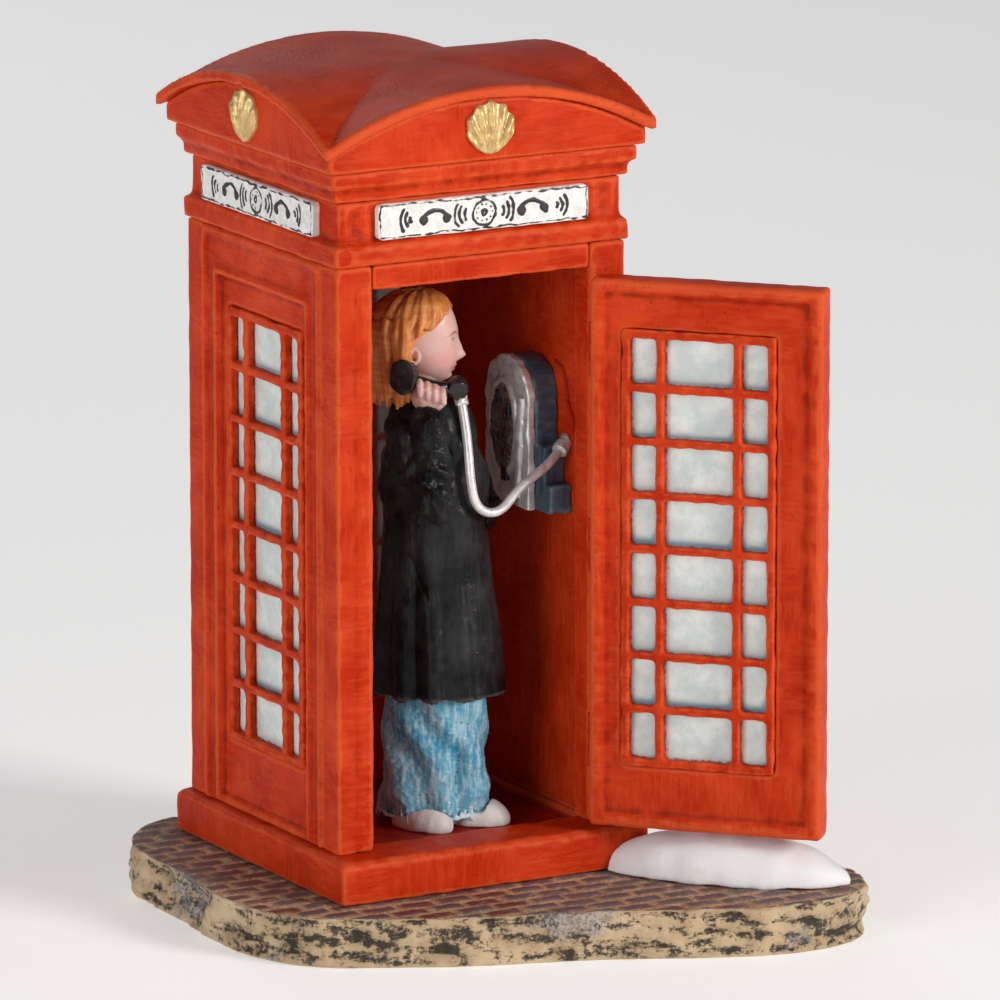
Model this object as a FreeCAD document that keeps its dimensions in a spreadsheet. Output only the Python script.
"""Miniature telephone kiosk with an open hinged door, a caller and a wall telephone.

Row frame: millimetres, +Z up, the doorway faces -Y. The origin is on the underside of
the ground slab, straight below the middle of the kiosk.
"""
import FreeCAD, Part
import math
import os

import Sketcher

Vector = FreeCAD.Vector
Rotation = FreeCAD.Rotation
Placement = FreeCAD.Placement
UP = Vector(0, 0, 1)

# ---------------------------------------------------------------- driving sizes
SIZES = [
    ("base_thick", 7.2, "ground slab thickness"),
    ("base_left", 13.4, "ground beyond the kiosk's left face"),
    ("base_back", 7.5, "ground beyond the kiosk's back face"),
    ("base_front", 13.0, "ground before the kiosk's front face, at the left"),
    ("base_right", 6.5, "ground beyond the kiosk's right face, at the back"),
    ("base_door", 6.5, "ground beyond the tip of the open door"),
    ("plinth_height", 6.0, "plinth above the ground"),
    ("plinth_chamfer", 0.7, "bevel on the plinth's top edge"),
    ("plinth_side", 1.6, "plinth beyond the side and back walls"),
    ("plinth_front", 4.4, "plinth before the front posts, as a step"),
    ("body_width", 45.0, "kiosk over the side walls"),
    ("body_depth", 44.0, "kiosk from front posts to back wall"),
    ("wall_height", 82.1, "walls and posts above the plinth"),
    ("wall", 4.4, "thickness of walls and posts"),
    ("floor_sink", 0.8, "cabin floor below the plinth's top"),
    ("floor_thick", 1.2, "cabin floor tile"),
    ("floor_gap", 0.1, "clearance round the floor tile and the ceiling panel"),
    ("ceiling_thick", 1.5, "ceiling panel"),
    ("door_opening", 33.8, "width between the front posts"),
    ("header_height", 3.5, "header over the doorway"),
    ("panel_width", 27.0, "sunk field round a wall's window"),
    ("panel_top", 6.1, "wall above the sunk field round its window"),
    ("panel_bottom", 1.0, "sunk field above the plinth's top"),
    ("panel_sink", 0.6, "depth of the sunk fields"),
    ("window_width", 19.6, "glazed width inside the window's border"),
    ("window_top", 11.9, "wall above the glazed area"),
    ("window_bottom", 11.0, "glazed area above the plinth's top"),
    ("border", 1.2, "width of a window grid's border"),
    ("upright_bar", 1.2, "width of the upright glazing bars"),
    ("crossbar", 1.1, "width of the level glazing bars"),
    ("side_light", 3.7, "width of the narrow outer panes"),
    ("pane_rows", 8, "rows of panes"),
    ("grid_sink", 0.2, "outer face of a window grid behind the wall's face"),
    ("grid_thick", 1.4, "thickness of a window grid"),
    ("pane_thick", 1.0, "thickness of a window's translucent sheet"),
    ("door_gap", 0.3, "clearance at the door's free edge"),
    ("door_lift", 1.0, "clearance under the door"),
    ("door_drop", 0.3, "clearance over the door"),
    ("door_thick", 4.2, "door leaf thickness"),
    ("door_rim", 1.7, "raised rim round the door leaf's fields"),
    ("window_shift", 1.1, "door window nearer the hinges than the leaf's middle"),
    ("door_open", 133.7, "angle of the open door, degrees"),
    ("hinge_offset", 0.4, "hinge axis beyond the doorway's edge"),
    ("pin_radius", 0.35, "hinge pin"),
    ("pin_play", 0.05, "radial clearance between pin and knuckles"),
    ("knuckle_radius", 0.9, "hinge knuckles, outside"),
    ("knuckle_length", 2.4, "one hinge knuckle"),
    ("knuckle_gap", 0.1, "clearance between knuckles"),
    ("hinge_plate", 0.5, "thickness of the hinge plates"),
    ("hinge_reach", 3.2, "hinge plate width from the pin's axis"),
    ("hinge_inset", 11.0, "middle of the end hinges from the door's ends"),
    ("ledge_height", 3.0, "ledge over the walls"),
    ("ledge_proud", 0.4, "ledge beyond the walls"),
    ("frieze_height", 5.9, "band that carries the sign plates"),
    ("frieze_inset", 0.5, "frieze behind the walls"),
    ("cornice_low", 2.1, "height of the lower cornice step"),
    ("cornice_high", 2.4, "height of the upper cornice step"),
    ("cornice_step", 0.9, "how much each cornice step projects past the one below"),
    ("pediment_proud", 2.2, "arched pediment faces beyond the walls"),
    ("pediment_foot", 3.4, "height of a pediment face at its ends"),
    ("roof_proud", 3.3, "roof shell beyond the walls"),
    ("roof_rise", 6.9, "rise of the roof's arches"),
    ("roof_thick", 1.6, "roof shell"),
    ("sign_width", 32.8, "sign plates"),
    ("sign_height", 5.0, "sign plates"),
    ("sign_thick", 1.2, "sign plates"),
    ("badge_radius", 3.6, "scallop badges"),
    ("badge_lift", 0.9, "badges above the cornice"),
    ("badge_thick", 1.0, "scallop badges"),
    ("phone_width", 16.0, "telephone across its lowest housing block"),
    ("phone_height", 15.0, "telephone up to the spring of its arched top"),
    ("phone_bottom", 43.5, "telephone above the cabin floor"),
    ("phone_back", 16.9, "telephone's back edge before the cabin's back wall"),
    ("phone_depth", 3.8, "telephone housing off the wall"),
    ("phone_step", 1.9, "how much each lower housing block projects past the one above"),
    ("phone_face", 1.2, "telephone face plate"),
    ("phone_panel", 0.3, "dark panel on the face plate"),
    ("figure_x", 0.2, "caller's axis"),
    ("figure_y", -8.4, "caller's axis"),
    ("figure_turn", -32.0, "direction that the caller faces, degrees"),
    ("cord_radius", 0.65, "telephone cord"),
    ("snow_length", 36.0, "snow drift under the open door"),
    ("snow_width", 13.0, "snow drift under the open door"),
    ("snow_height", 6.3, "snow drift under the open door"),
]

document = FreeCAD.newDocument("telephone_kiosk")
sheet = document.addObject("Spreadsheet::Sheet", "dims")
for row, (alias, number, note) in enumerate(SIZES, 1):
    sheet.set(f"A{row}", note)
    sheet.set(f"B{row}", str(number))
    sheet.setAlias(f"B{row}", alias)
document.recompute()


def size(alias):
    """Value of one cell, for the shapes that code works out."""
    return float(sheet.get(alias))


# Levels and planes that several pieces share, as expressions on the sheet
PLINTH_TOP = "dims.base_thick + dims.plinth_height"
FLOOR_TOP = PLINTH_TOP + " - dims.floor_sink"
WALL_TOP = PLINTH_TOP + " + dims.wall_height"
LEDGE_TOP = WALL_TOP + " + dims.ledge_height"
FRIEZE_TOP = LEDGE_TOP + " + dims.frieze_height"
CORNICE_TOP = FRIEZE_TOP + " + dims.cornice_low + dims.cornice_high"
PEDIMENT_TIP = CORNICE_TOP + " + dims.pediment_foot"
CABIN_WIDTH = "(dims.body_width - 2 * dims.wall)"
CABIN_DEPTH = "(dims.body_depth - 2 * dims.wall)"
DOOR_WIDTH = "(dims.door_opening - 2 * dims.door_gap)"
DOOR_HEIGHT = "(dims.wall_height - dims.header_height - dims.door_lift - dims.door_drop)"
GRID_WIDTH = "(dims.window_width + 2 * dims.border)"
PANEL_HEIGHT = "(dims.wall_height - dims.panel_bottom - dims.panel_top)"
WINDOW_HEIGHT = "(dims.wall_height - dims.window_bottom - dims.window_top)"
GRID_HEIGHT = f"({WINDOW_HEIGHT} + 2 * dims.border)"
GRID_DEPTH = "(dims.grid_sink + dims.grid_thick)"

nodes = []


# ---------------------------------------------------------------- helpers
def keep(thing, label):
    """Name an object as a finished piece."""
    thing.Label = label
    nodes.append(thing)
    return thing


def bind(thing, **expressions):
    """Bind properties to expressions; a double underscore stands for a dot."""
    for name, expression in expressions.items():
        thing.setExpression(name.replace("__", "."), expression)


def place(thing, x="0", y="0", z="0"):
    """Bind where an object's origin lies."""
    bind(thing, Placement__Base__x=x, Placement__Base__y=y, Placement__Base__z=z)
    return thing


def block(name, x, y, z, length, width, height):
    """A box from its low corner and its three sizes, all expressions."""
    box = document.addObject("Part::Box", name)
    bind(box, Length=length, Width=width, Height=height)
    return place(box, x, y, z)


def centred_block(name, z, length, width, height):
    """A box centred on the kiosk's axis."""
    return block(name, f"-({length}) / 2", f"-({width}) / 2", z, length, width, height)


def rod(name, radius, height, turn=None):
    """A cylinder, turned so that its axis follows another direction than +Z."""
    cylinder = document.addObject("Part::Cylinder", name)
    bind(cylinder, Radius=radius, Height=height)
    if turn:
        cylinder.Placement = Placement(Vector(), turn)
    return cylinder


def joined(name, pieces):
    """One solid out of several that touch or overlap."""
    union = document.addObject("Part::MultiFuse", name)
    union.Shapes = pieces
    union.Refine = True
    return union


def carved(name, base, *tools):
    """The base with each tool cut away in turn."""
    for number, tool in enumerate(tools):
        cut = document.addObject("Part::Cut", f"{name}_{number}")
        cut.Base = base
        cut.Tool = tool
        base = cut
    return base


def plane_of(body, role):
    """One of a body's own origin planes."""
    return next(part for part in body.Origin.OriginFeatures if part.Role == role)


def sketch_on(body, role, name, depth="0"):
    """A sketch on an origin plane of its own body, moved along the plane's normal."""
    sketch = body.newObject("Sketcher::SketchObject", name)
    sketch.AttachmentSupport = [(plane_of(body, role), "")]
    sketch.MapMode = "FlatFace"
    bind(sketch, AttachmentOffset__Base__z=depth)
    return sketch


def rectangle(sketch, left, low, width, height):
    """A rectangle with its low left corner at left, low, held by four named sizes."""
    corners = [Vector(1, 1, 0), Vector(9, 1, 0), Vector(9, 9, 0), Vector(1, 9, 0)]
    first = sketch.GeometryCount
    for start, end in zip(corners, corners[1:] + corners[:1]):
        sketch.addGeometry(Part.LineSegment(start, end))
    bottom, right, top, side = range(first, first + 4)
    for one, other in ((bottom, right), (right, top), (top, side), (side, bottom)):
        sketch.addConstraint(Sketcher.Constraint("Coincident", one, 2, other, 1))
    for line in (bottom, top):
        sketch.addConstraint(Sketcher.Constraint("Horizontal", line))
    for line in (right, side):
        sketch.addConstraint(Sketcher.Constraint("Vertical", line))
    held = (
        ("DistanceX", (bottom, 1, bottom, 2), 8, width),
        ("DistanceY", (right, 1, right, 2), 8, height),
        ("DistanceX", (-1, 1, bottom, 1), 1, left),
        ("DistanceY", (-1, 1, bottom, 1), 1, low),
    )
    for kind, ends, start, expression in held:
        number = sketch.addConstraint(Sketcher.Constraint(kind, *ends, start))
        sketch.setExpression(f"Constraints[{number}]", expression)
    return sketch


def padded(body, sketch, length, towards_plus_y=False):
    """Pad a sketch; sketches on an XZ plane point to -Y unless turned round."""
    pad = body.newObject("PartDesign::Pad", sketch.Name + "_pad")
    pad.Profile = sketch
    pad.Reversed = towards_plus_y
    bind(pad, Length=length)
    return pad


def pocketed(body, sketch, depth, towards_minus_y=False):
    """Pocket a sketch; on an XZ plane it cuts to +Y unless turned round."""
    pocket = body.newObject("PartDesign::Pocket", sketch.Name + "_pocket")
    pocket.Profile = sketch
    pocket.Reversed = towards_minus_y
    bind(pocket, Length=depth)
    return pocket


# ---------------------------------------------------------------- ground slab
def hinge_axis():
    """Where the door's hinge axis stands, as x and y."""
    x = size("door_opening") / 2 + size("hinge_offset")
    y = -size("body_depth") / 2 - size("knuckle_radius")
    return x, y


def door_tip():
    """Far corner of the open door's inner face, as x and y."""
    angle = math.radians(180 + size("door_open"))
    reach = size("door_opening")
    x, y = hinge_axis()
    return x + reach * math.cos(angle), y + reach * math.sin(angle)


def ground_outline():
    """Rough rounded outline round the kiosk, the step and the open door."""
    left = -size("body_width") / 2 - size("base_left")
    right = size("body_width") / 2 + size("base_right")
    back = size("body_depth") / 2 + size("base_back")
    front = -size("body_depth") / 2 - size("base_front")
    tip_x, tip_y = door_tip()
    far_x = tip_x + size("base_door")
    far_y = tip_y - size("base_door")
    return [
        (left + 9, back - 1.5), (left + 3, back - 9), (left + 1.2, 3), (left, -13),
        (left + 5, front + 7), (left + 16, front), (-10, front - 4.5), (4, front - 9),
        (tip_x - 18, far_y + 1.5), (tip_x - 7, far_y - 1), (tip_x + 2, far_y + 1.5),
        (far_x + 0.5, tip_y + 2.5), (far_x, tip_y + 11), (right + 6, -20), (right, 0),
        (right - 1.5, back - 10), (right - 8, back - 1), (0, back + 0.5),
    ]


ground = document.addObject("PartDesign::Body", "ground_body")
outline = sketch_on(ground, "XY_Plane", "ground_outline")
curve = Part.BSplineCurve()
curve.interpolate([Vector(x, y, 0) for x, y in ground_outline()], PeriodicFlag=True)
outline.addGeometry(curve)
padded(ground, outline, "dims.base_thick")
keep(ground, "base_slab")

# ---------------------------------------------------------------- plinth and floor
PLINTH_WIDTH = "(dims.body_width + 2 * dims.plinth_side)"
PLINTH_DEPTH = "(dims.body_depth + dims.plinth_side + dims.plinth_front)"
plinth = document.addObject("PartDesign::Body", "plinth_body")
place(plinth, f"-{PLINTH_WIDTH} / 2", "-dims.body_depth / 2 - dims.plinth_front",
      "dims.base_thick")
foot = rectangle(sketch_on(plinth, "XY_Plane", "plinth_foot"), "0", "0",
                 PLINTH_WIDTH, PLINTH_DEPTH)
plinth_pad = padded(plinth, foot, "dims.plinth_height")
document.recompute()
top_edges = []
for number, edge in enumerate(plinth.Shape.Edges, 1):
    box = edge.BoundBox
    level = abs(box.ZMin - box.ZMax) < 1e-6
    if level and abs(box.ZMax - size("base_thick") - size("plinth_height")) < 1e-6:
        if box.XLength > size("body_width") or box.YLength > size("body_depth"):
            top_edges.append(f"Edge{number}")
bevel = plinth.newObject("PartDesign::Chamfer", "plinth_bevel")
bevel.Base = (plinth_pad, top_edges)
bind(bevel, Size="dims.plinth_chamfer")
well = sketch_on(plinth, "XY_Plane", "floor_well", "dims.plinth_height")
rectangle(well, "dims.plinth_side + dims.wall", "dims.plinth_front + dims.wall",
          CABIN_WIDTH, CABIN_DEPTH)
pocketed(plinth, well, "dims.floor_sink + dims.floor_thick")
keep(plinth, "plinth")

# Snow blown under the open door: the upper half of a long mound, along the leaf
mound = document.addObject("Part::Ellipsoid", "mound")
bind(mound, Radius2="dims.snow_length / 2", Radius3="dims.snow_width / 2",
     Radius1="dims.snow_height")
tip_x, tip_y = door_tip()
hinge_x, hinge_y = hinge_axis()
along = Rotation(UP, size("door_open"))
middle = Vector((tip_x + hinge_x) / 2 + 1.5, (tip_y + hinge_y) / 2 - 1.5, size("base_thick"))
mound.Placement = Placement(middle, along)
above = document.addObject("Part::Box", "above_ground")
bind(above, Length="dims.snow_length + 10", Width="dims.snow_length + 10",
     Height="dims.snow_height + 5")
place(above, f"{middle.x} - dims.snow_length / 2 - 5", f"{middle.y} - dims.snow_length / 2 - 5",
      "dims.base_thick")
drift = document.addObject("Part::Common", "drift")
drift.Base = mound
drift.Tool = above
keep(carved("drift_cut", drift, plinth), "snow_drift")

keep(centred_block("floor_tile", FLOOR_TOP + " - dims.floor_thick",
                   CABIN_WIDTH + " - 2 * dims.floor_gap",
                   CABIN_DEPTH + " - 2 * dims.floor_gap", "dims.floor_thick"), "cabin_floor")
keep(centred_block("ceiling_board", WALL_TOP + " - dims.ceiling_thick",
                   CABIN_WIDTH + " - 2 * dims.floor_gap",
                   CABIN_DEPTH + " - 2 * dims.floor_gap", "dims.ceiling_thick"),
     "ceiling_panel")

# ---------------------------------------------------------------- posts and header
POST_WIDTH = "(dims.body_width - dims.door_opening) / 2"
for label, x in (("front_left_post", "-dims.body_width / 2"),
                 ("front_right_post", "dims.door_opening / 2")):
    keep(block(label + "_box", x, "-dims.body_depth / 2", PLINTH_TOP,
               POST_WIDTH, "dims.wall", "dims.wall_height"), label)
keep(block("header_box", "-dims.door_opening / 2", "-dims.body_depth / 2",
           WALL_TOP + " - dims.header_height", "dims.door_opening", "dims.wall",
           "dims.header_height"), "door_header")


# ---------------------------------------------------------------- walls
def wall(label, length, turn, x, y, blind=False):
    """A wall with a sunk field and a stepped window opening, outer face on its XZ plane."""
    body = document.addObject("PartDesign::Body", label + "_body")
    # the sketches start at one end, so the body is moved half its length along itself
    body.Placement = Placement(Vector(), Rotation(UP, turn))
    place(body, x, y, PLINTH_TOP)
    sheet_sketch = rectangle(sketch_on(body, "XZ_Plane", label + "_outline"), "0", "0",
                             length, "dims.wall_height")
    padded(body, sheet_sketch, "dims.wall", towards_plus_y=True)
    field = rectangle(sketch_on(body, "XZ_Plane", label + "_field"),
                      f"({length} - dims.panel_width) / 2",
                      "dims.panel_bottom", "dims.panel_width", PANEL_HEIGHT)
    pocketed(body, field, "dims.panel_sink")
    rebate = rectangle(sketch_on(body, "XZ_Plane", label + "_rebate"),
                       f"({length} - {GRID_WIDTH}) / 2",
                       "dims.window_bottom - dims.border", GRID_WIDTH, GRID_HEIGHT)
    pocketed(body, rebate, f"{GRID_DEPTH} + dims.pane_thick")
    if not blind:
        light = rectangle(sketch_on(body, "XZ_Plane", label + "_light"),
                          f"({length} - dims.window_width) / 2", "dims.window_bottom",
                          "dims.window_width", WINDOW_HEIGHT)
        pocketed(body, light, "dims.wall")
    return keep(body, label)


wall("left_wall", CABIN_DEPTH, -90, "-dims.body_width / 2", f"{CABIN_DEPTH} / 2")
right_wall = wall("right_wall", CABIN_DEPTH, 90, "dims.body_width / 2", f"-{CABIN_DEPTH} / 2", blind=True)
wall("back_wall", "dims.body_width", 180, "dims.body_width / 2", "dims.body_depth / 2")


# ---------------------------------------------------------------- windows
def window_grid(label):
    """Border and glazing bars of one window, outer face on its XZ plane."""
    body = document.addObject("PartDesign::Body", label + "_body")
    blank = rectangle(sketch_on(body, "XZ_Plane", label + "_blank"), "0", "0",
                      GRID_WIDTH, GRID_HEIGHT)
    padded(body, blank, "dims.grid_thick", towards_plus_y=True)
    centre_light = "dims.window_width - 2 * dims.side_light - 2 * dims.upright_bar"
    pitch = f"({WINDOW_HEIGHT} + dims.crossbar) / dims.pane_rows"
    lights = sketch_on(body, "XZ_Plane", label + "_lights")
    columns = (
        ("dims.border", "dims.side_light"),
        ("dims.border + dims.side_light + dims.upright_bar", centre_light),
        ("dims.border + dims.window_width - dims.side_light", "dims.side_light"),
    )
    for left, width in columns:
        rectangle(lights, left, "dims.border", width, pitch + " - dims.crossbar")
    row = pocketed(body, lights, "dims.grid_thick")
    document.recompute()
    rows = body.newObject("PartDesign::LinearPattern", label + "_rows")
    rows.Originals = [row]
    rows.Direction = (lights, ["V_Axis"])
    rows.Mode = "Spacing"
    bind(rows, Offset=pitch)
    rows.Occurrences = int(size("pane_rows"))
    body.Tip = rows
    return body


def pane(label):
    """The translucent sheet behind a grid, outer face on its XZ plane."""
    body = document.addObject("PartDesign::Body", label + "_body")
    blank = rectangle(sketch_on(body, "XZ_Plane", label + "_blank"), "0", "0",
                      GRID_WIDTH, GRID_HEIGHT)
    padded(body, blank, "dims.pane_thick", towards_plus_y=True)
    return body


GRID_BOTTOM = PLINTH_TOP + " + dims.window_bottom - dims.border"
SIDE_FACE = "(dims.body_width / 2 - dims.grid_sink)"
BACK_FACE = "(dims.body_depth / 2 - dims.grid_sink)"
for side, turn, grid_x, grid_y, inwards in (
        ("left", -90, f"-{SIDE_FACE}", f"{GRID_WIDTH} / 2", ("+", "")),
        ("right", 90, SIDE_FACE, f"-{GRID_WIDTH} / 2", ("-", "")),
        ("back", 180, f"{GRID_WIDTH} / 2", BACK_FACE, ("", "-"))):
    grid = window_grid(side + "_window_grid")
    glazing = pane(side + "_pane")
    for body in (grid, glazing):
        body.Placement = Placement(Vector(), Rotation(UP, turn))
    place(grid, grid_x, grid_y, GRID_BOTTOM)
    pane_x = f"{grid_x} {inwards[0]} dims.grid_thick" if inwards[0] else grid_x
    pane_y = f"{grid_y} {inwards[1]} dims.grid_thick" if inwards[1] else grid_y
    place(glazing, pane_x, pane_y, GRID_BOTTOM)
    keep(grid, side + "_window_grid")
    keep(glazing, side + "_pane")

# ---------------------------------------------------------------- door
HINGE_X = "(dims.door_opening / 2 + dims.hinge_offset)"
HINGE_Y = "(-dims.body_depth / 2 - dims.knuckle_radius)"
LEAF_LEFT = f"(-dims.hinge_offset - dims.door_gap - {DOOR_WIDTH})"
LEAF_BOTTOM = f"({PLINTH_TOP} + dims.door_lift)"
COSINE = "cos(dims.door_open * 1 deg)"
SINE = "sin(dims.door_open * 1 deg)"


def hang(thing, x, y, z):
    """Place a door piece: x and y are from the hinge axis with the door closed."""
    thing.Placement = Placement(Vector(), Rotation(UP, size("door_open")))
    return place(thing, f"{HINGE_X} + ({x}) * {COSINE} - ({y}) * {SINE}",
                 f"{HINGE_Y} + ({x}) * {SINE} + ({y}) * {COSINE}", z)


leaf = document.addObject("PartDesign::Body", "leaf_body")
blank = rectangle(sketch_on(leaf, "XZ_Plane", "leaf_blank"), "0", "0", DOOR_WIDTH, DOOR_HEIGHT)
padded(leaf, blank, "dims.door_thick", towards_plus_y=True)
for name, depth, inner in (("leaf_outer_field", "0", False),
                           ("leaf_inner_field", "-dims.door_thick", True)):
    field = rectangle(sketch_on(leaf, "XZ_Plane", name, depth), "dims.door_rim",
                      "dims.door_rim", DOOR_WIDTH + " - 2 * dims.door_rim",
                      DOOR_HEIGHT + " - 2 * dims.door_rim")
    pocketed(leaf, field, "dims.panel_sink", towards_minus_y=inner)
light = rectangle(sketch_on(leaf, "XZ_Plane", "leaf_light"),
                  f"({DOOR_WIDTH} - {GRID_WIDTH}) / 2 + dims.window_shift",
                  "dims.window_bottom - dims.border - dims.door_lift", GRID_WIDTH, GRID_HEIGHT)
pocketed(leaf, light, "dims.door_thick")
keep(hang(leaf, LEAF_LEFT, "dims.knuckle_radius", LEAF_BOTTOM), "door_leaf")

WINDOW_LEFT = f"{LEAF_LEFT} + ({DOOR_WIDTH} - {GRID_WIDTH}) / 2 + dims.window_shift"
OUTER_Y = "dims.knuckle_radius + dims.grid_sink"
keep(hang(window_grid("door_outer_grid"), WINDOW_LEFT, OUTER_Y, GRID_BOTTOM),
     "door_outer_grid")
keep(hang(pane("door_pane"), WINDOW_LEFT, OUTER_Y + " + dims.grid_thick", GRID_BOTTOM),
     "door_pane")
keep(hang(window_grid("door_inner_grid"), WINDOW_LEFT,
          OUTER_Y + " + dims.grid_thick + dims.pane_thick", GRID_BOTTOM), "door_inner_grid")

# Three butt hinges: the post carries the middle knuckle, the leaf the two outer ones
HINGE_SPAN = "(2 * dims.knuckle_length + 2 * dims.knuckle_gap)"
BORE = "dims.pin_radius + dims.pin_play"


def fix(thing, x, y, z):
    """Place a fixed hinge piece: x and y are from the hinge axis."""
    return place(thing, f"{HINGE_X} + {x}", f"{HINGE_Y} + {y}", z)


def knuckle(name, low, carrier, plate_x):
    """One knuckle with its strip of plate, bored for the pin, from a level up."""
    barrel = rod(name + "_barrel", "dims.knuckle_radius", "dims.knuckle_length")
    strip = document.addObject("Part::Box", name + "_strip")
    bind(strip, Length="dims.hinge_reach", Width="dims.hinge_plate",
         Height="dims.knuckle_length")
    bore = rod(name + "_bore", BORE, "dims.knuckle_length")
    for piece, x, y in ((barrel, "0", "0"), (bore, "0", "0"),
                        (strip, plate_x, "dims.knuckle_radius - dims.hinge_plate")):
        carrier(piece, x, y, low)
    return carved(name, joined(name + "_solid", [barrel, strip]), bore)


for number, label in enumerate(("lower", "middle", "upper")):
    level = (f"({LEAF_BOTTOM} + dims.hinge_inset - dims.knuckle_length / 2"
             f" + {number} * ({DOOR_HEIGHT} - 2 * dims.hinge_inset) / 2)")
    step = "(dims.knuckle_length + dims.knuckle_gap)"
    pin = rod(label + "_pin", "dims.pin_radius", HINGE_SPAN + " + dims.knuckle_length")
    place(pin, HINGE_X, HINGE_Y, f"{level} - {step}")
    keep(pin, label + "_hinge_pin")
    keep(knuckle(label + "_post_knuckle", level, fix, "0"), label + "_hinge_post_leaf")
    pair = [knuckle(f"{label}_leaf_knuckle_{place_name}", f"{level} {sign} {step}", hang,
                    "-dims.hinge_reach")
            for place_name, sign in (("below", "-"), ("above", "+"))]
    both = document.addObject("Part::Compound", label + "_leaf_pair")
    both.Links = pair
    keep(both, label + "_hinge_door_leaf")


# ---------------------------------------------------------------- entablature
def stack(name, steps):
    """Blocks centred on the kiosk's axis, each given by how far it is proud of the walls."""
    pieces = []
    for number, (proud, low, height) in enumerate(steps):
        pieces.append(centred_block(f"{name}_{number}", low,
                                    f"(dims.body_width + 2 * ({proud}))",
                                    f"(dims.body_depth + 2 * ({proud}))", height))
    return joined(name, pieces) if len(pieces) > 1 else pieces[0]


keep(stack("ledge_band", [
    ("dims.ledge_proud", WALL_TOP, "dims.ledge_height"),
    ("-dims.frieze_inset", LEDGE_TOP, "dims.frieze_height"),
]), "entablature")
keep(stack("cornice_steps", [
    ("dims.pediment_proud - 2 * dims.cornice_step", FRIEZE_TOP, "dims.cornice_low"),
    ("dims.pediment_proud - dims.cornice_step", FRIEZE_TOP + " + dims.cornice_low",
     "dims.cornice_high"),
]), "cornice")


# ---------------------------------------------------------------- arched roof
def cross_vault(name, drop):
    """Two crossing barrels whose arches rise roof_rise over the shell's full span."""
    half = size("body_width") / 2 + size("roof_proud")
    rise = size("roof_rise")
    radius = (half * half + rise * rise) / (2 * rise)
    barrels = []
    for axis, turn in (("x", Rotation(Vector(0, 1, 0), 90)),
                       ("y", Rotation(Vector(1, 0, 0), -90))):
        barrel = rod(f"{name}_{axis}", f"{radius} - {drop}",
                     "dims.body_width + 4 * dims.roof_proud", turn)
        start = "-(dims.body_width + 4 * dims.roof_proud) / 2"
        place(barrel, start if axis == "x" else "0", start if axis == "y" else "0",
              f"{PEDIMENT_TIP} + {rise} - {radius}")
        barrels.append(barrel)
    return joined(name, barrels)


def vault_over(name, vault, proud, low):
    """The part of a cross vault over a rectangle, from a level up."""
    span = centred_block(name + "_span", low, f"(dims.body_width + 2 * {proud})",
                         f"(dims.body_depth + 2 * {proud})", "dims.roof_rise * 3")
    part = document.addObject("Part::Common", name)
    part.Base = vault
    part.Tool = span
    return part


inner_vault = cross_vault("inner_vault", "dims.roof_thick")
outer_vault = cross_vault("outer_vault", "0")
keep(vault_over("pediment_core", inner_vault, "dims.pediment_proud", CORNICE_TOP),
     "pediment_block")
keep(carved("roof", vault_over("roof_core", outer_vault, "dims.roof_proud",
                               PEDIMENT_TIP + " - dims.roof_thick"), inner_vault),
     "roof_shell")

# ---------------------------------------------------------------- signs and badges
BADGE_LEVEL = CORNICE_TOP + " + dims.badge_radius + dims.badge_lift"
for side, turn, x, y in (("front", 0, 0, -1), ("right", 90, 1, 0),
                         ("back", 180, 0, 1), ("left", 270, -1, 0)):
    across = f"(dims.body_{'depth' if x else 'width'} / 2"
    outer = f"(dims.body_{'width' if x else 'depth'} / 2"
    plate = document.addObject("Part::Box", side + "_plate")
    plate.Placement = Placement(Vector(), Rotation(UP, turn))
    bind(plate, Length="dims.sign_width", Width="dims.sign_thick", Height="dims.sign_height")
    proud = f"{outer} - dims.frieze_inset + dims.sign_thick)"
    place(plate, f"{x} * {proud} + {y} * dims.sign_width / 2",
          f"{y} * {proud} - {x} * dims.sign_width / 2",
          f"{LEDGE_TOP} + (dims.frieze_height - dims.sign_height) / 2")
    keep(plate, side + "_sign_plate")
    face = f"{outer} + dims.pediment_proud)"
    disc = rod(side + "_disc", "dims.badge_radius", "dims.badge_thick",
               Rotation(UP, Vector(x, y, 0)))
    place(disc, f"{x} * {face}", f"{y} * {face}", BADGE_LEVEL)
    keep(disc, side + "_badge")

# ---------------------------------------------------------------- wall telephone
PHONE_X = "(dims.body_width / 2 - dims.wall)"
PHONE_BOTTOM = f"({FLOOR_TOP} + dims.phone_bottom)"
PHONE_BACK = f"({CABIN_DEPTH} / 2 - dims.phone_back)"
upper = block("phone_upper", f"{PHONE_X} - dims.phone_depth",
              f"{PHONE_BACK} - dims.phone_width + 2 * dims.phone_step", PHONE_BOTTOM,
              "dims.phone_depth", "dims.phone_width - 2 * dims.phone_step",
              "dims.phone_height")
arch = rod("phone_arch", "dims.phone_width / 2 - dims.phone_step", "dims.phone_depth",
           Rotation(Vector(0, 1, 0), 90))
place(arch, f"{PHONE_X} - dims.phone_depth",
      f"{PHONE_BACK} - dims.phone_width / 2 + dims.phone_step",
      f"{PHONE_BOTTOM} + dims.phone_height")
housing = [upper, arch]
for number, share in ((1, 0.62), (2, 0.26)):
    housing.append(block(f"phone_block_{number}", f"{PHONE_X} - dims.phone_depth + 0.3",
                         f"{PHONE_BACK} - dims.phone_width + {2 - number} * dims.phone_step",
                         PHONE_BOTTOM, "dims.phone_depth - 0.3",
                         f"dims.phone_width - {2 - number} * dims.phone_step",
                         f"dims.phone_height * {share}"))
telephone = keep(joined("phone_blocks", housing), "phone_housing")
FACE_X = f"({PHONE_X} - dims.phone_depth)"
FACE_WIDTH = "(dims.phone_width - 2 * dims.phone_step)"
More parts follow.
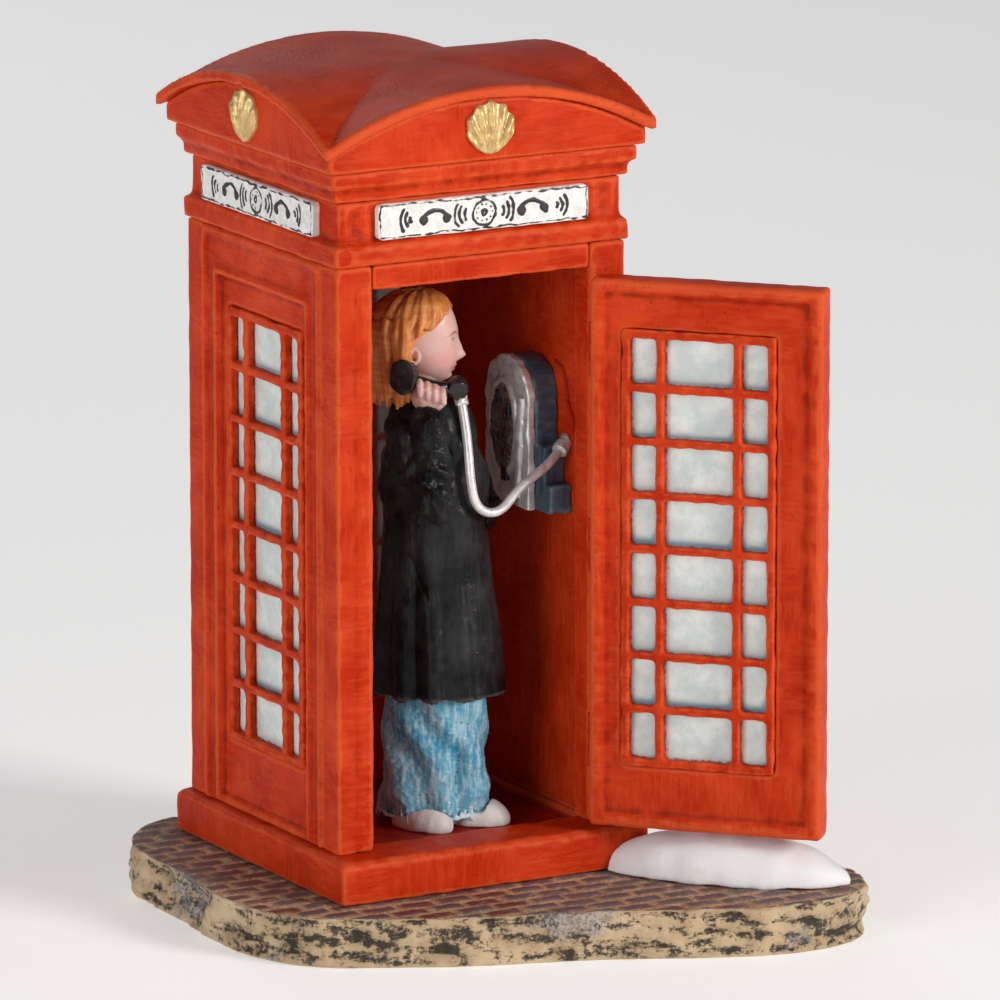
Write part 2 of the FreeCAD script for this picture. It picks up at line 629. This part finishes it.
face_plate = [
    block("face_lower", f"{FACE_X} - dims.phone_face", f"{PHONE_BACK} - {FACE_WIDTH}",
          PHONE_BOTTOM, "dims.phone_face", FACE_WIDTH, "dims.phone_height"),
    rod("face_arch", f"{FACE_WIDTH} / 2", "dims.phone_face", Rotation(Vector(0, 1, 0), 90)),
]
place(face_plate[1], f"{FACE_X} - dims.phone_face", f"{PHONE_BACK} - {FACE_WIDTH} / 2",
      f"{PHONE_BOTTOM} + dims.phone_height")
keep(joined("face_blocks", face_plate), "phone_faceplate")
keep(block("panel_box", f"{FACE_X} - dims.phone_face - dims.phone_panel",
           f"{PHONE_BACK} - {FACE_WIDTH} * 0.8", f"{PHONE_BOTTOM} + dims.phone_height * 0.42",
           "dims.phone_panel", f"{FACE_WIDTH} * 0.6", "dims.phone_height * 0.6"),
     "phone_panel")

# ---------------------------------------------------------------- caller
TURN = Rotation(UP, size("figure_turn"))
FLOOR = (size("base_thick") + size("plinth_height") - size("floor_sink"))
FOOT = Vector(size("figure_x"), size("figure_y"), FLOOR)


def stand(thing, forward=0.0, left=0.0, up=0.0, turn=None):
    """Place a piece of the caller from the caller's own forward, left and up."""
    local = Placement(Vector(forward, left, up), turn or Rotation())
    thing.Placement = Placement(FOOT, TURN).multiply(local)
    return thing


def egg(name, length, width, height):
    """An ellipsoid from its three full sizes."""
    solid = document.addObject("Part::Ellipsoid", name)
    solid.Radius2 = length / 2
    solid.Radius3 = width / 2
    solid.Radius1 = height / 2
    return solid


def lofted(name, rings):
    """A solid through level ellipses: (up, forward, left, length, width) of each."""
    sections = []
    for number, (up, forward, left, length, width) in enumerate(rings):
        ring = document.addObject("Part::Ellipse", f"{name}_ring{number}")
        ring.MajorRadius = length / 2
        ring.MinorRadius = width / 2
        sections.append(stand(ring, forward, left, up))
    loft = document.addObject("Part::Loft", name)
    loft.Sections = sections
    loft.Solid = True
    return loft


def between(name, start, end, radius):
    """A round bar between two points given as forward, left, up."""
    start = Vector(*start)
    along = Vector(*end) - start
    bar = document.addObject("Part::Cylinder", name)
    bar.Radius = radius
    bar.Height = along.Length
    return stand(bar, start.x, start.y, start.z, Rotation(UP, along))


def limb(name, joints, radius):
    """Round bars with a ball at every joint."""
    pieces = []
    for number, joint in enumerate(joints):
        ball = document.addObject("Part::Sphere", f"{name}_ball{number}")
        ball.Radius = radius
        pieces.append(stand(ball, *joint))
        if number:
            pieces.append(between(f"{name}_bar{number}", joints[number - 1], joint, radius))
    return joined(name, pieces)


def clearing(name, forward, up, tilt):
    """A block before and below a line that rises forward across the face, in degrees."""
    box = document.addObject("Part::Box", name)
    box.Length = box.Height = 14
    box.Width = 16
    turn = Rotation(Vector(0, 1, 0), -tilt)
    corner = Vector(forward, -8, up) - turn.multVec(Vector(0, 0, 14))
    return stand(box, corner.x, corner.y, corner.z, turn)


# Handset: two caps on a grip, held to the right ear
ear_cap = between("ear_cap_bar", (-4.2, -6.3, 64.4), (-3.8, -4.4, 64.2), 1.9)
mouth_cap = between("mouth_cap_bar", (3.4, -4.3, 62.1), (3.0, -2.5, 62.9), 1.5)
grip = carved("grip", between("grip_bar", (-3.6, -5.4, 64.1), (2.3, -3.9, 62.3), 0.8),
              ear_cap, mouth_cap)
keep(ear_cap, "handset_earpiece")
keep(mouth_cap, "handset_mouthpiece")
keep(grip, "handset_grip")

skull = stand(egg("skull", 9.6, 8.6, 12.2), -1.2, 0.0, 68.7)
neck = between("neck_bar", (-1.6, 0.0, 60.6), (-1.4, 0.0, 65.0), 2.4)
head = carved("head", joined("head_solid", [skull, neck]), ear_cap, mouth_cap, grip)
keep(head, "figure_head")
palm = carved("palm", stand(egg("palm_egg", 5.0, 3.6, 4.4), -0.6, -4.9, 61.4),
              head, ear_cap, mouth_cap, grip)
keep(palm, "figure_hand")
hair = carved("hair", stand(egg("hair_egg", 12.6, 11.0, 16.4), -3.0, 0.2, 67.6),
              clearing("brow_line", -3.2, 66.6, 43), clearing("cheek_line", -3.2, 66.6, 0),
              head, ear_cap, mouth_cap, grip, palm)
keep(hair, "figure_hair")

coat_body = lofted("coat_loft", [
    (18.9, 0.4, 0.0, 17.0, 13.4), (32.0, 0.2, 0.0, 16.0, 12.6), (47.0, -0.2, 0.0, 14.4, 12.2),
    (56.0, -0.6, 0.0, 12.6, 11.4), (60.6, -1.0, 0.0, 8.4, 7.4),
])
coat = carved("coat", coat_body, head, palm, hair, mouth_cap, grip)
keep(coat, "figure_coat")
right_arm = carved("right_arm", limb("right_arm_limb", [
    (-4.0, -4.4, 55.4), (0.4, -6.2, 46.6), (-0.6, -5.8, 57.6)], 2.7),
    coat, palm, hair, mouth_cap, ear_cap, grip, head)
keep(right_arm, "figure_right_sleeve")
left_arm = carved("left_arm", limb("left_arm_limb", [
    (2.0, 4.4, 56.0), (6.6, 4.2, 44.0), (5.4, 0.0, 43.0)], 2.2), coat)
keep(left_arm, "figure_left_sleeve")
jeans = lofted("jeans_loft", [
    (1.6, -0.2, -0.6, 15.6, 10.6), (8.0, -0.2, -0.4, 14.6, 10.6), (18.9, 0.0, 0.0, 14.4, 11.0),
])
keep(jeans, "figure_jeans")
for side, forward, left, turn in (("right", -1.6, -4.2, -34), ("left", 5.6, -1.0, -12)):
    shoe = stand(egg(side + "_shoe", 8.4, 4.8, 5.0), forward, left, 0.6, Rotation(UP, turn))
    tread = centred_block(side + "_tread", FLOOR_TOP, "dims.body_width", "dims.body_depth", "20")
    boot = document.addObject("Part::Common", side + "_boot")
    boot.Base = shoe
    boot.Tool = tread
    keep(carved(side + "_boot_cut", boot, jeans), f"figure_{side}_boot")

# ---------------------------------------------------------------- telephone cord
CORD_ROUTE = [
    (16.3, -14.6, 64.6), (14.0, -15.8, 63.2), (11.2, -16.4, 61.9), (8.5, -16.5, 60.2),
    (6.4, -16.4, 57.7), (4.0, -16.4, 57.4), (2.1, -16.3, 58.9), (1.5, -16.1, 62.2),
    (1.5, -15.5, 66.1), (1.6, -14.5, 69.7), (1.7, -13.3, 72.4),
]


def cord_tube(route, radius):
    """A tube along straight runs joined by tangent arcs, with its length and radii."""
    points = [Vector(*point) for point in route]
    edges = []
    radii = []
    start = points[0]
    for before, corner, after in zip(points, points[1:], points[2:]):
        backward = (before - corner).normalize()
        forward = (after - corner).normalize()
        shorter = min((before - corner).Length, (after - corner).Length)
        half_turn = (math.pi - backward.getAngle(forward)) / 2
        trim = 0.45 * shorter
        radii.append(trim / math.tan(half_turn))
        centre = corner + (backward + forward).normalize() * (radii[-1] / math.cos(half_turn))
        entry = corner + backward * trim
        exit_point = corner + forward * trim
        crown = centre + (corner - centre).normalize() * radii[-1]
        edges.append(Part.LineSegment(start, entry).toShape())
        edges.append(Part.Arc(entry, crown, exit_point).toShape())
        start = exit_point
    edges.append(Part.LineSegment(start, points[-1]).toShape())
    path = Part.Wire(edges)
    circle = Part.Wire(Part.makeCircle(radius, points[0], points[1] - points[0]))
    return path.makePipeShell([circle], True, True), path.Length, radii


tube, cord_length, cord_radii = cord_tube(CORD_ROUTE, size("cord_radius"))
cord = document.addObject("Part::Feature", "cord")
cord.Shape = tube
keep(cord, "handset_cord")
print("cord length", round(cord_length, 2), "volume ratio",
      round(tube.Volume / (math.pi * size("cord_radius") ** 2 * cord_length), 4))
print("cord radii", [round(radius, 2) for radius in cord_radii])


def ferrule(label, point, towards, length, radius, *others):
    """A short sleeve on a cord end, from the cord's end face back to what holds it."""
    sleeve = document.addObject("Part::Cylinder", label + "_sleeve")
    sleeve.Radius = radius
    sleeve.Height = length
    sleeve.Placement = Placement(Vector(*point), Rotation(UP, Vector(*towards)))
    return keep(carved(label + "_cut", sleeve, *others), label)


first = Vector(*CORD_ROUTE[0])
ferrule("phone_ferrule", CORD_ROUTE[0], first - Vector(*CORD_ROUTE[1]), 2.8, 1.1,
        telephone, right_wall)
last = Vector(*CORD_ROUTE[-1])
ferrule("handset_ferrule", CORD_ROUTE[-1], last - Vector(*CORD_ROUTE[-2]), 2.4, 0.9,
        mouth_cap, grip, palm, head)

# ---------------------------------------------------------------- check and write
document.recompute()
os.makedirs("parts", exist_ok=True)
for thing in document.Objects:
    if "Invalid" in thing.State or "Error" in thing.State:
        raise RuntimeError(f"{thing.Label} did not build: {thing.State}")
for node in nodes:
    shape = node.Shape
    if shape.isNull() or not shape.isValid() or shape.Volume <= 0:
        raise RuntimeError(f"{node.Label} has no valid solid")
for node in nodes:
    node.Shape.exportStep(f"parts/{node.Label}.step")
    print(f"{node.Label:28s} {node.Shape.Volume:10.2f} mm3  {len(node.Shape.Solids)} solid(s)")
